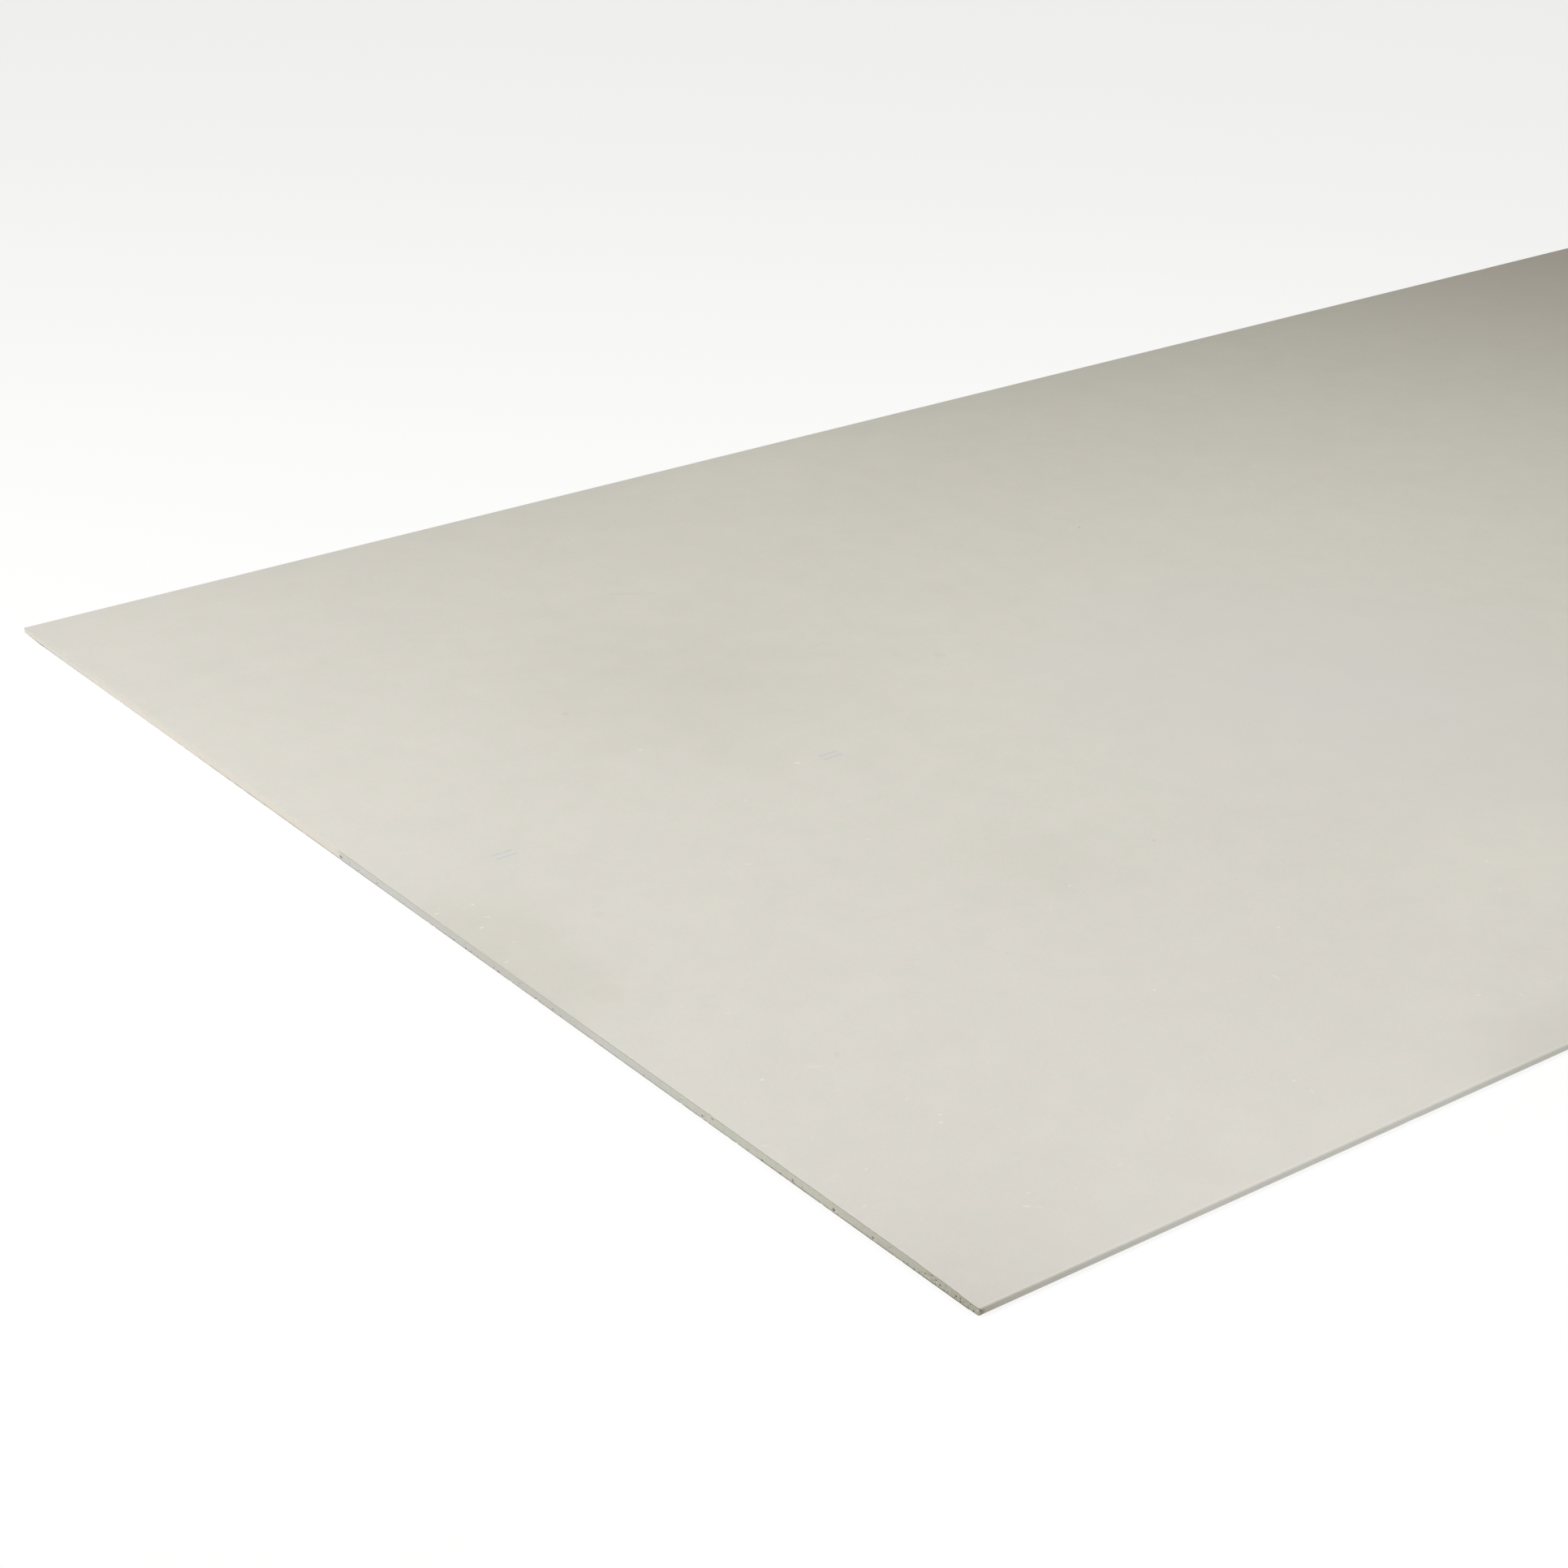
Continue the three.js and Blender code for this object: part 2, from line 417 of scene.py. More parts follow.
# A veil of finer dust on the near cut end: it sets in and is whole at DUST_FROM and DUST_TO,
# and has the first share at the upper height and the second at the lower
DUST_FROM, DUST_TO = -400.0, -200.0
DUST_HEIGHTS = (6.2, 0.8)
DUST_SHARES = (0.14, 0.42)

# (middle, half length, strength) of the stretches of the near cut end's foot that get a darker line of
# painted contact shadow and grime
FOOT_SHADOW_STRETCHES = (
    (-505.0, 100.0, 0.42),
    (-215.0, 185.0, 0.08),
    (190.0, 100.0, 0.30),
    (587.0, 26.0, 0.85),
)
FOOT_FADE = 12.0  # to each side of both ends of a stretch
FOOT_HEIGHTS = (1.1, 0.3)  # from none to whole
FOOT_SHADOW_AND_GRIME = 0.08  # what there is of it all along both cut ends

# (spacing, size, share of places, strength, colour) of the flecks in each finish
FACE_FLECKS = (
    (11.0, 0.55, 0.35, 0.35, CHALK),
    (9.0, 1.3, 0.45, 0.13, CHALK),
    (15.0, 1.3, 0.35, 0.07, PLY_GREY),
    (26.0, 0.4, 0.3, 0.3, PLY_GREY),
)
LINER_FLECKS = (
    (7.0, 0.7, 0.5, 0.7, (0.50, 0.46, 0.38)),
    (9.0, 0.6, 0.5, 0.7, (0.14, 0.12, 0.095)),
    (31.0, 0.8, 0.4, 0.7, (0.20, 0.24, 0.30)),
)
CORE_CRYSTALS = (2.2, 0.5, 0.35, 0.55, CHALK)
PLY_CHIPS = (5.0, 1.1, 0.4, 1.0)  # the same, but for its colour
CORE_PORES = {"spacing": 1.5, "size": 0.3, "share": 0.3}
PORE_SHADE = 0.35
PLY_DUST = 0.3  # share of powder in patches of a cut paper
CRUMB_PALENESS = 0.9
VOID_DARKENS = 0.3  # share of the way into a void at which its painted shade is at its darkest

# What draws noise out into the plies along a cut and into the fibres along the board
PLY_SQUEEZE = (1.0, 0.12, 9.0)
FIBRE_SQUEEZE = (0.18, 1.0, 1.0)
FIBRE_DRIFT, FIBRE_DRIFT_SIZE = 3.0, 6.0  # and what bends the fibres

GLUE_SHADE = 0.10  # share of brown in the back paper where it is glued over the flaps
GLUE_FADE = 2.0
FACE_COCKLE, LINER_COCKLE = 4.0, 3.0  # height of each paper's waves, for that of its fibres

# ------------------------------------------------------------------------------------------
# Stage
# ------------------------------------------------------------------------------------------

FLOOR_REACH = 30.0
FLOOR_HEIGHT = -0.0001  # a hair below the board, so that the two don't coincide
FLOOR_COLOUR = (0.18, 0.18, 0.18)
FLOOR_GLOW = (0.81, 0.81, 0.805)  # its own light, so that it stays pale far from the lamps
FLOOR_ROUGHNESS = 0.9
SKY_COLOUR = (1.0, 0.934, 0.704)
SKY_STRENGTH = 0.158
BACKDROP = (0.76, 0.76, 0.755)  # the sky as the camera sees it, over the floor's far end

CAMERA_LENS = 72.9
CAMERA_SENSOR = 36.0
CAMERA_PLACE = (-2.13624, -1.6728, 0.98373)
CAMERA_TURN = (64.82, 0.0, -36.89)

# (name, place, target, size, power, colour)
LIGHTS = (
    ("key", (-2.4, 0.45, 1.77), (-1.5, 1.2, 0.0), 1.1, 48.8, (0.95, 0.957, 1.0)),
    ("front", (-1.04, -1.38, 0.9), (-1.5, -1.09, 0.0), 1.1, 9.16, (0.908, 0.903, 1.0)),
    ("right", (-0.11, -0.11, 1.26), (-0.16, -0.35, 0.0), 1.1, 8.3, (0.972, 0.999, 1.0)),
)


# ------------------------------------------------------------------------------------------
# Section of the board
# ------------------------------------------------------------------------------------------


def wrap_point(along, inset):
    """(y, z) of a point of the face paper. along runs over the paper from the middle of the
    face, and inset is the depth under its outer side."""
    side = math.copysign(1.0, along)
    rest = abs(along)
    if rest <= FLAT_RUN:
        return side * rest, THICKNESS - inset
    rest -= FLAT_RUN
    if rest <= TAPER_RUN:
        y = FLAT_RUN + rest * math.cos(TAPER_ANGLE) - inset * math.sin(TAPER_ANGLE)
        z = THICKNESS - rest * math.sin(TAPER_ANGLE) - inset * math.cos(TAPER_ANGLE)
        return side * y, z
    rest -= TAPER_RUN
    if rest <= SHOULDER_RUN:
        angle = math.pi / 2 - TAPER_ANGLE - rest / SHOULDER_RADIUS
        radius = SHOULDER_RADIUS - inset
        return side * (SHOULDER_Y + radius * math.cos(angle)), SHOULDER_Z + radius * math.sin(angle)
    rest -= SHOULDER_RUN
    if rest <= SIDE_RUN:
        return side * (HALF_WIDTH - inset), SHOULDER_Z - rest
    rest -= SIDE_RUN
    if rest <= HEEL_RUN:
        angle = -rest / HEEL_RADIUS
        radius = HEEL_RADIUS - inset
        return side * (HEEL_Y + radius * math.cos(angle)), HEEL_Z + radius * math.sin(angle)
    rest -= HEEL_RUN
    return side * (HEEL_Y - rest), BACK_PAPER + inset


def core_top(y):
    """Height of the core's upper side, which is the inner side of the face paper."""
    out = abs(y)
    radius = SHOULDER_RADIUS - FACE_PAPER
    if out >= SHOULDER_Y + radius * math.sin(TAPER_ANGLE):
        return SHOULDER_Z + math.sqrt(max(radius**2 - (out - SHOULDER_Y) ** 2, 0.0))
    fall = max(out - FLAT_RUN, 0.0) * math.tan(TAPER_ANGLE)
    return THICKNESS - FACE_PAPER - fall


def core_floor(y):
    """Height of the core's lower side, on the back paper and over the flaps."""
    out = abs(y)
    radius = HEEL_RADIUS - FACE_PAPER
    if out >= HEEL_Y:
        return HEEL_Z - math.sqrt(max(radius**2 - (out - HEEL_Y) ** 2, 0.0))
    return BACK_PAPER + (FACE_PAPER if out > HALF_WIDTH - FLAP_WIDTH else 0.0)


# ------------------------------------------------------------------------------------------
# Wear of the whole board: one bending of space, so that the glued layers stay together
# ------------------------------------------------------------------------------------------


def smooth(low, high, value):
    """0 up to low, 1 from high on, and an even curve between."""
    t = min(max((value - low) / (high - low), 0.0), 1.0)
    return t * t * (3.0 - 2.0 * t)


def blend(low, high, share):
    return low + (high - low) * share


def end_of(x):
    """-1 on the half of the board with the near cut end, 1 on the other."""
    return -1 if x < 0 else 1


def ripple(value, waves, shift=0.0):
    """Smooth noise from about -1 to 1 along a line. Each shift gives a line of its own."""
    length, place = waves
    place += shift
    return noise.noise(Vector((value / length, place, NOISE_SLANT * place)))


def arris_wear(x, y):
    """(depth, reach) of the pressed-down arris of the face at this place on a cut end."""
    softness = smooth(SOFT_FROM, SOFT_TO, y) if x < 0 else 0.0
    press = blend(SHARP_PRESS, SOFT_PRESS, softness)
    reach = blend(SHARP_REACH, SOFT_REACH, softness)
    return press * (1.0 + PRESS_SWING * ripple(y, ARRIS_WAVES)), reach


def edge_inset(x, side):
    """How far the long edge on this side stands in from the board's full width."""
    inset = EDGE_WAVER * (0.5 + 0.5 * ripple(x, EDGE_WAVES, side))
    for dent_side, centre, half, depth in EDGE_DENTS:
        if side == dent_side and abs(x - centre) < half:
            inset += depth * (1.0 - ((x - centre) / half) ** 2) ** 2
    return inset


def worn(x, y, z):
    """Where handling and the knife have left the point that was cast at (x, y, z)."""
    end_gap = HALF_LENGTH - abs(x)
    edge_gap = HALF_WIDTH - abs(y)
    end = end_of(x)
    side = int(math.copysign(1.0, y))

    press, reach = arris_wear(x, y)
    height = min(max((z - PRESS_FROM) / (THICKNESS - PRESS_FROM), 0.0), 1.0)
    new_z = z - press * height * max(1.0 - end_gap / reach, 0.0) ** 2
    if x < 0:
        lift = CORNER_LIFT * smooth(CORNER_LIFT_FROM, HALF_WIDTH, y)
        new_z += lift * (1.0 - z / THICKNESS) * max(1.0 - end_gap / CORNER_LIFT_REACH, 0.0) ** 2

    radius = CORNER_RADIUS[(end, side)]
    new_x = x
    if edge_gap < radius:
        pull = radius - math.sqrt(radius**2 - (radius - max(edge_gap, 0.0)) ** 2)
        new_x -= end * pull * max(1.0 - end_gap / (CORNER_RUN * radius), 0.0)

    near_edge = max(1.0 - edge_gap / EDGE_DEPTH, 0.0) ** 2
    new_y = y - side * edge_inset(x, side) * near_edge
    return new_x, new_y, new_z


# ------------------------------------------------------------------------------------------
# Wear of each layer at the cuts
# ------------------------------------------------------------------------------------------


class Nicks:
    """Small bites out of a cut, each (place along the cut, half width, depth)."""

    def __init__(self, seed, count, widths, depths, placed=()):
        draw = random.Random(seed)
        self.bites = list(placed)
        for _ in range(count):
            place = draw.uniform(NICK_MARGIN - HALF_WIDTH, HALF_WIDTH - NICK_MARGIN)
            self.bites.append((place, draw.uniform(*widths), draw.uniform(*depths)))

    def depth(self, along):
        deepest = 0.0
        for place, half, depth in self.bites:
            gap = abs(along - place)
            if gap < half:
                deepest = max(deepest, depth * (1.0 - (gap / half) ** 2))
        return deepest

    def spacing(self, along):
        near = any(abs(along - place) < half + NICK_SPACING for place, half, _ in self.bites)
        return NICK_SPACING if near else CUT_SPACING


def cut_in(x, along, nicks, fuzz):
    """x moved in by what the knife took from a paper at this place along its cut."""
    end = end_of(x)
    depth, place = fuzz
    shift = place + end
    rough = 0.5 + FUZZ_SHARE * ripple(along, FUZZ_WAVES, shift)
    rough += FINE_FUZZ_SHARE * ripple(along, FINE_FUZZ_WAVES, shift)
    back = depth * max(rough, 0.0) + nicks[end].depth(along)
    run = max(FUZZ_RUN * back, LEAST_FUZZ_RUN)
    return x - end * back * max(1.0 - (HALF_LENGTH - abs(x)) / run, 0.0)


def refined(places, spacing):
    """places with each gap halved until it is no wider than spacing asks for there."""
    result = [places[0]]
    for start, stop in zip(places, places[1:]):
        stack = [(start, stop)]
        while stack:
            low, high = stack.pop()
            middle = (low + high) / 2
            if high - low > spacing(middle):
                stack.append((middle, high))
                stack.append((low, middle))
            else:
                result.append(high)
    return result


# ------------------------------------------------------------------------------------------
# Mesh building
# ------------------------------------------------------------------------------------------


def lace(bm, near, far):
    """Faces between two rows of (place, vertex) that have the same ends but may differ in
    how many vertices lie between."""
    faces = []
    i = j = 0
    while i < len(near) - 1 or j < len(far) - 1:
        next_near = near[i + 1][0] if i < len(near) - 1 else math.inf
        next_far = far[j + 1][0] if j < len(far) - 1 else math.inf
        if abs(next_near - next_far) < 1e-6:
            corners = (near[i][1], near[i + 1][1], far[j + 1][1], far[j][1])
            i += 1
            j += 1
        elif next_near < next_far:
            corners = (near[i][1], near[i + 1][1], far[j][1])
            i += 1
        else:
            corners = (near[i][1], far[j + 1][1], far[j][1])
            j += 1
        faces.append(bm.faces.new(corners))
    return faces


class Row:
    """One section of a layer: its upper and lower side, and its two edges between them."""

    def __init__(self, bm, place, x, columns, levels):
        def point(column, level):
            return bm.verts.new(Vector(place(x, column, level)) * MM)

        self.upper = [(c, point(c, 1.0)) for c in columns]
        self.lower = [(c, point(c, 0.0)) for c in columns]
        inner = levels[1:-1]
        self.first = [(v, point(columns[0], v)) for v in inner]
        self.last = [(v, point(columns[-1], v)) for v in inner]
        self.first = [(0.0, self.lower[0][1]), *self.first, (1.0, self.upper[0][1])]
        self.last = [(0.0, self.lower[-1][1]), *self.last, (1.0, self.upper[-1][1])]


def cap(bm, place, x, row, levels):
    """The cut end of a layer, as a grid between the row's upper and lower side."""
    lines = [[v for _, v in row.first]]
    for (column, top), (_, bottom) in zip(row.upper[1:-1], row.lower[1:-1]):
        inner = [bm.verts.new(Vector(place(x, column, level)) * MM) for level in levels[1:-1]]
        lines.append([bottom, *inner, top])
    lines.append([v for _, v in row.last])
    faces = []
    for left, right in zip(lines, lines[1:]):
        for k in range(len(left) - 1):
            faces.append(bm.faces.new((left[k], right[k], right[k + 1], left[k + 1])))
    return faces


def build_layer(name, stations, levels, place, materials, marks=()):
    """A layer of the board as one closed mesh object.

    stations is a list of (x, columns), from one cut end to the other. place(x, column, level)
    gives a point in millimetres, with level 0 on the lower or inner side and 1 on the upper
    or outer one. The cut ends get the second material if there are two. marks is a list of
    (attribute name, function of x, y, z in millimetres) written to the vertices.
    """
    bm = bmesh.new()
    rows = [Row(bm, place, x, columns, levels) for x, columns in stations]
    for near, far in zip(rows, rows[1:]):
        lace(bm, near.upper, far.upper)
        lace(bm, near.lower, far.lower)
        lace(bm, near.first, far.first)
        lace(bm, near.last, far.last)
    cut_faces = cap(bm, place, stations[0][0], rows[0], levels)
    cut_faces += cap(bm, place, stations[-1][0], rows[-1], levels)
    for face in cut_faces:
        face.material_index = len(materials) - 1
    bmesh.ops.recalc_face_normals(bm, faces=bm.faces)
    for attribute, value_at in marks:
        layer = bm.verts.layers.float.new(attribute)
        for vert in bm.verts:
            vert[layer] = value_at(*(vert.co / MM))
    mesh = bpy.data.meshes.new(name)
    bm.to_mesh(mesh)
    bm.free()
    for material in materials:
        mesh.materials.append(material)
    mesh.polygons.foreach_set("use_smooth", [True] * len(mesh.polygons))
    mesh.set_sharp_from_angle(angle=math.radians(SHARP_ANGLE))
    piece = bpy.data.objects.new(name, mesh)
    bpy.context.scene.collection.objects.link(piece)
    return piece


def row_places(end_rows, columns, wear):
    """(x, columns) of every row. The columns stay as given between the cut ends, and are close
    together at each cut end where its wear asks for it."""
    first_plain = end_rows[-1] + STATION_SPACING / 2
    count = round((LENGTH - 2 * first_plain) / STATION_SPACING)
    step = (LENGTH - 2 * first_plain) / count
    middle = [-HALF_LENGTH + first_plain + step * k for k in range(count + 1)]

    def spacing(x):
        dented = any(abs(x - centre) < half + step / 2 for _, centre, half, _ in EDGE_DENTS)
        return DENT_SPACING if dented else 2 * step

    near_columns = refined(columns, wear[-1].spacing)
    far_columns = refined(columns, wear[1].spacing)
    near = [(-HALF_LENGTH + gap, near_columns) for gap in end_rows]
    far = [(HALF_LENGTH - gap, far_columns) for gap in reversed(end_rows)]
    return near + [(x, columns) for x in refined(middle, spacing)] + far


# ------------------------------------------------------------------------------------------
# The three pieces
# ------------------------------------------------------------------------------------------


def both_ways(half):
    """A list that starts at 0, mirrored to run from minus to plus."""
    return [-value for value in reversed(half[1:])] + list(half)


def wrap_columns():
    """Places along the face paper, from one flap's end to the other's."""
    half = [0.0]
    for run, steps in zip(WRAP_RUNS, WRAP_STEPS):
        start = half[-1]
        half += [start + run * k / steps for k in range(1, steps + 1)]
    return both_ways(half)


def core_columns():
    """Places across the core, close together in its bends."""
    half = [FLAT_RUN * k / WRAP_STEPS[0] for k in range(WRAP_STEPS[0] + 1)]
    flap_end = HALF_WIDTH - FLAP_WIDTH
    half += [*TAPER_COLUMNS, flap_end - FLAP_STEP, flap_end + FLAP_STEP, HEEL_Y]
    heel, shoulder = HEEL_RADIUS - FACE_PAPER, SHOULDER_RADIUS - FACE_PAPER
    turns = [math.sin(math.pi / 2 * k / CORE_BEND_STEPS) for k in range(1, CORE_BEND_STEPS + 1)]
    half += [HEEL_Y + heel * turn for turn in turns]
    half += [SHOULDER_Y + shoulder * turn for turn in turns[:-1]]
    return both_ways(sorted(half))


def build_face_paper(materials):
    nicks = {
        -1: Nicks(*FACE_NICKS[-1], placed=CORNER_NICKS),
        1: Nicks(*FACE_NICKS[1]),
    }

    def place(x, along, level):
        y, z = wrap_point(along, FACE_PAPER * (1.0 - level))
        return worn(cut_in(x, along, nicks, FACE_FUZZ), y, z)

    rows = row_places(PAPER_ROWS, wrap_columns(), nicks)
    return build_layer("face_liner", rows, (0.0, 1.0), place, materials)


def build_back_paper(materials):
    half_lap = HALF_WIDTH - LAP_MARGIN
    columns = both_ways([half_lap * k / LAP_STEPS for k in range(LAP_STEPS + 1)])
    nicks = {end: Nicks(*LINER_NICKS[end]) for end in (-1, 1)}

    def place(x, across, level):
        side = math.copysign(1.0, across)
        waver = LAP_WAVER * (0.5 + 0.5 * ripple(x, LAP_WAVES, side))
        y = across - side * waver * smooth(half_lap - LAP_REACH, half_lap, abs(across))
        return worn(cut_in(x, across, nicks, LINER_FUZZ), y, BACK_PAPER * level)

    rows = row_places(PAPER_ROWS, columns, nicks)
    return build_layer("back_liner", rows, (0.0, 1.0), place, materials)


class Pits:
    """What a cut end has opened or torn: air voids, and pale crumbs that cling beside some
    of them. Each is (y, z, radius) in millimetres."""

    def __init__(self, seed, count, stretch, voids=(), crumbs=()):
        draw = random.Random(seed)
        self.voids = list(voids)
        self.crumbs = list(crumbs)
        for _ in range(count):
            z = blend(*VOID_HEIGHTS, draw.random() ** 4)
            y = draw.uniform(*stretch)
            self.voids.append((y, z, blend(*VOID_RADII, draw.random() ** 2)))
            if draw.random() < CRUMB_CHANCE:
                crumb_y = y + CRUMB_OFFSET[0]
                crumb_z = max(z + CRUMB_OFFSET[1], VOID_HEIGHTS[0])
                self.crumbs.append((crumb_y, crumb_z, draw.uniform(*CRUMB_RADII)))
        self.voids.sort()
        self.crumbs.sort()

    @staticmethod
    def depth_in(marks, y, z):
        """Share of the way from the rim of the nearest mark to its middle, or below 0
        outside them all, and the mark's radius."""
        best, best_radius = -1.0, 0.0
        for mark_y, mark_z, radius in marks:
            if abs(y - mark_y) > 2.0 * radius:
                continue
            rim = noise.noise(Vector((y / RIM_SIZE, z / RIM_SIZE, mark_y)))
            ragged = 1.0 + RIM_SWING * rim
            share = 1.0 - ragged * math.hypot(y - mark_y, z - mark_z) / radius
            if share > best:
                best, best_radius = share, radius
        return best, best_radius

    def spacing(self, y):
        marks = self.voids + self.crumbs
        near = any(abs(y - mark_y) < radius + NICK_SPACING for mark_y, _, radius in marks)
        return NICK_SPACING if near else CUT_SPACING


def cut_relief(pits, y, z, level):
    """How far the cut end of the core stands in at (y, z). It stays shallow at its arrises,
    where the papers hold it."""
    depth = CUT_RECESS
    for size_y, size_z, place, deepest in TORN_RELIEF:
        torn = noise.noise(Vector((y / size_y, z / size_z, place)))
        depth += deepest * (0.5 + 0.5 * torn)
    crumb, _ = pits.depth_in(pits.crumbs, y, z)
    depth = max(depth - CRUMB_HEIGHT * smooth(0.0, CRUMB_SHOULDER, crumb), 0.0)
    void, radius = pits.depth_in(pits.voids, y, z)
    if void > 0.0:
        depth += VOID_DEPTH * radius * math.sqrt(1.0 - (1.0 - void) ** 2)
    return min(depth, ARRIS_LIMIT) if level in (0.0, 1.0) else depth


def build_core(materials):
    levels = [k / CORE_LEVELS for k in range(CORE_LEVELS + 1)]
    pits = {
        -1: Pits(*STREWN_VOIDS[-1], voids=CORNER_VOIDS, crumbs=CORNER_CRUMBS),
        1: Pits(*STREWN_VOIDS[1]),
    }

    def place(x, y, level):
        end = end_of(x)
        z = blend(core_floor(y), core_top(y), level)
        relief = cut_relief(pits[end], y, z, level) if abs(x) == HALF_LENGTH else 0.0
        return worn(x - end * relief, y, z)

    def void_at(x, y, z):
        """0 outside the voids and up to 1 in the middle of one."""
        if HALF_LENGTH - abs(x) > PIT_ROOM:
            return 0.0
        cut = pits[end_of(x)]
        return max(cut.depth_in(cut.voids, y, z)[0], 0.0)

    def crumb_at(x, y, z):
        """0 away from the crumbs and 1 on one."""
        if HALF_LENGTH - abs(x) > PIT_ROOM:
            return 0.0
        cut = pits[end_of(x)]
        return smooth(*CRUMB_RIM, cut.depth_in(cut.crumbs, y, z)[0])

    rows = row_places(CORE_ROWS, core_columns(), pits)
    marks = (("void", void_at), ("crumb", crumb_at))
    return build_layer("cast_core", rows, levels, place, materials, marks)


# ------------------------------------------------------------------------------------------
# Shader building
# ------------------------------------------------------------------------------------------


class Graph:
    """Adds nodes to one node tree and links them."""

    def __init__(self, tree):
        self.tree = tree

    def feed(self, socket, value):
        if isinstance(value, bpy.types.NodeSocket):
            self.tree.links.new(value, socket)
        elif socket.type == "RGBA":
            socket.default_value = (*value, 1.0)
        else:
            socket.default_value = value

    def add(self, kind, inputs=(), **settings):
        made = self.tree.nodes.new(kind)
        made.location = (220.0 * len(self.tree.nodes), 0.0)
        for name, value in settings.items():
            setattr(made, name, value)
        for socket, value in dict(inputs).items():
            self.feed(made.inputs[socket], value)
        return made

    def math(self, operation, *values, clamp=False):
        made = self.add("ShaderNodeMath", enumerate(values), operation=operation, use_clamp=clamp)
        return made.outputs[0]

    def times(self, value, *factors):
        for factor in factors:
            value = self.math("MULTIPLY", value, factor)
        return value

    def vector(self, operation, *values):
        made = self.add("ShaderNodeVectorMath", enumerate(values), operation=operation)
        measured = operation in ("LENGTH", "DISTANCE", "DOT_PRODUCT")
        return made.outputs["Value" if measured else "Vector"]

    def scaled(self, vector, scale):
        made = self.add("ShaderNodeVectorMath", {0: vector, "Scale": scale}, operation="SCALE")
        return made.outputs["Vector"]

    def step(self, value, low, high):
        """0 up to low, 1 from high on, smooth between. low may be the greater."""
        inputs = {"Value": value, "From Min": low, "From Max": high}
        made = self.add("ShaderNodeMapRange", inputs, interpolation_type="SMOOTHSTEP")
        return made.outputs["Result"]

    def between(self, value, low, high):
        """low where value is 0 and high where it is 1."""
        made = self.add("ShaderNodeMapRange", {"Value": value, "To Min": low, "To Max": high})
        return made.outputs["Result"]

    def mix(self, share, base, top):
        inputs = {0: share, 6: base, 7: top}
        made = self.add("ShaderNodeMix", inputs, data_type="RGBA", clamp_factor=True)
        return made.outputs[2]

    def noise(self, vector, size, detail=2.0, roughness=0.5):
        """Noise of this size, in the units of vector, around 0.5."""
        given = isinstance(size, bpy.types.NodeSocket)
        scale = self.math("DIVIDE", 1.0, size) if given else 1.0 / size
        inputs = {"Vector": vector, "Scale": scale, "Detail": detail, "Roughness": roughness}
        return self.add("ShaderNodeTexNoise", inputs).outputs["Fac"]

    def place(self, group, **inputs):
        made = self.tree.nodes.new("ShaderNodeGroup")
        made.node_tree = group
        for name, value in inputs.items():
            self.feed(made.inputs[name.replace("_", " ").title()], value)
        return made.outputs


def new_group(name, inputs, outputs):
    """(graph, its given inputs, its results) of a new shader node group. inputs is a list of
    (name, default), where a default of None means a vector."""
    tree = bpy.data.node_groups.new(name, "ShaderNodeTree")
    for socket, default in inputs:
        kind = "NodeSocketVector" if default is None else "NodeSocketFloat"
        made = tree.interface.new_socket(socket, in_out="INPUT", socket_type=kind)
        if default is not None:
            made.default_value = default
    for socket in outputs:
        tree.interface.new_socket(socket, in_out="OUTPUT", socket_type="NodeSocketFloat")
    graph = Graph(tree)
    given = graph.add("NodeGroupInput").outputs
    result = graph.add("NodeGroupOutput").inputs
    return graph, given, result


# ------------------------------------------------------------------------------------------
# Effects, each a node group that the finishes place with values of their own
# ------------------------------------------------------------------------------------------


def paper_formation():
    """The cloudiness and the fibres of a paper web, which run along the board."""
    inputs = [("Vector", None), ("Cloud Size", 40.0), ("Fibre Width", 0.3)]
    graph, given, result = new_group("Paper Formation", inputs, ["Clouds", "Fibres"])
    point = given["Vector"]
    drift = graph.noise(point, size=FIBRE_DRIFT_SIZE, detail=1.0)
    bent = graph.vector("ADD", point, graph.scaled(drift, FIBRE_DRIFT))
    narrow = graph.vector("MULTIPLY", bent, FIBRE_SQUEEZE)
    fibre = graph.noise(narrow, size=given["Fibre Width"], detail=2.0, roughness=0.6)
    ridge = graph.math("ABSOLUTE", graph.math("SUBTRACT", fibre, 0.5))
    graph.feed(result["Fibres"], graph.step(ridge, 0.16, 0.0))
    clouds = graph.noise(point, size=given["Cloud Size"], detail=4.0, roughness=0.55)
    graph.feed(result["Clouds"], clouds)
    return graph.tree


def scattered_flecks():
    """Specks strewn over a surface: one for some share of cells this far apart."""
    inputs = [("Vector", None), ("Spacing", 10.0), ("Size", 0.4), ("Share", 0.3)]
    graph, given, result = new_group("Scattered Flecks", inputs, ["Mask"])
    scale = graph.math("DIVIDE", 1.0, given["Spacing"])
    cells = graph.add("ShaderNodeTexVoronoi", {"Vector": given["Vector"], "Scale": scale}).outputs
    chance = graph.add("ShaderNodeSeparateColor", {"Color": cells["Color"]}).outputs
    chosen = graph.math("LESS_THAN", chance["Red"], given["Share"])
    size = graph.times(given["Size"], graph.between(chance["Green"], 0.4, 1.0))
    ragged = graph.between(graph.noise(given["Vector"], size=0.5, detail=1.0), 0.6, 1.4)
    away = graph.times(cells["Distance"], given["Spacing"], ragged)
    inside = graph.step(graph.math("DIVIDE", away, size), 1.0, 0.6)
    graph.feed(result["Mask"], graph.times(inside, chosen))
    return graph.tree


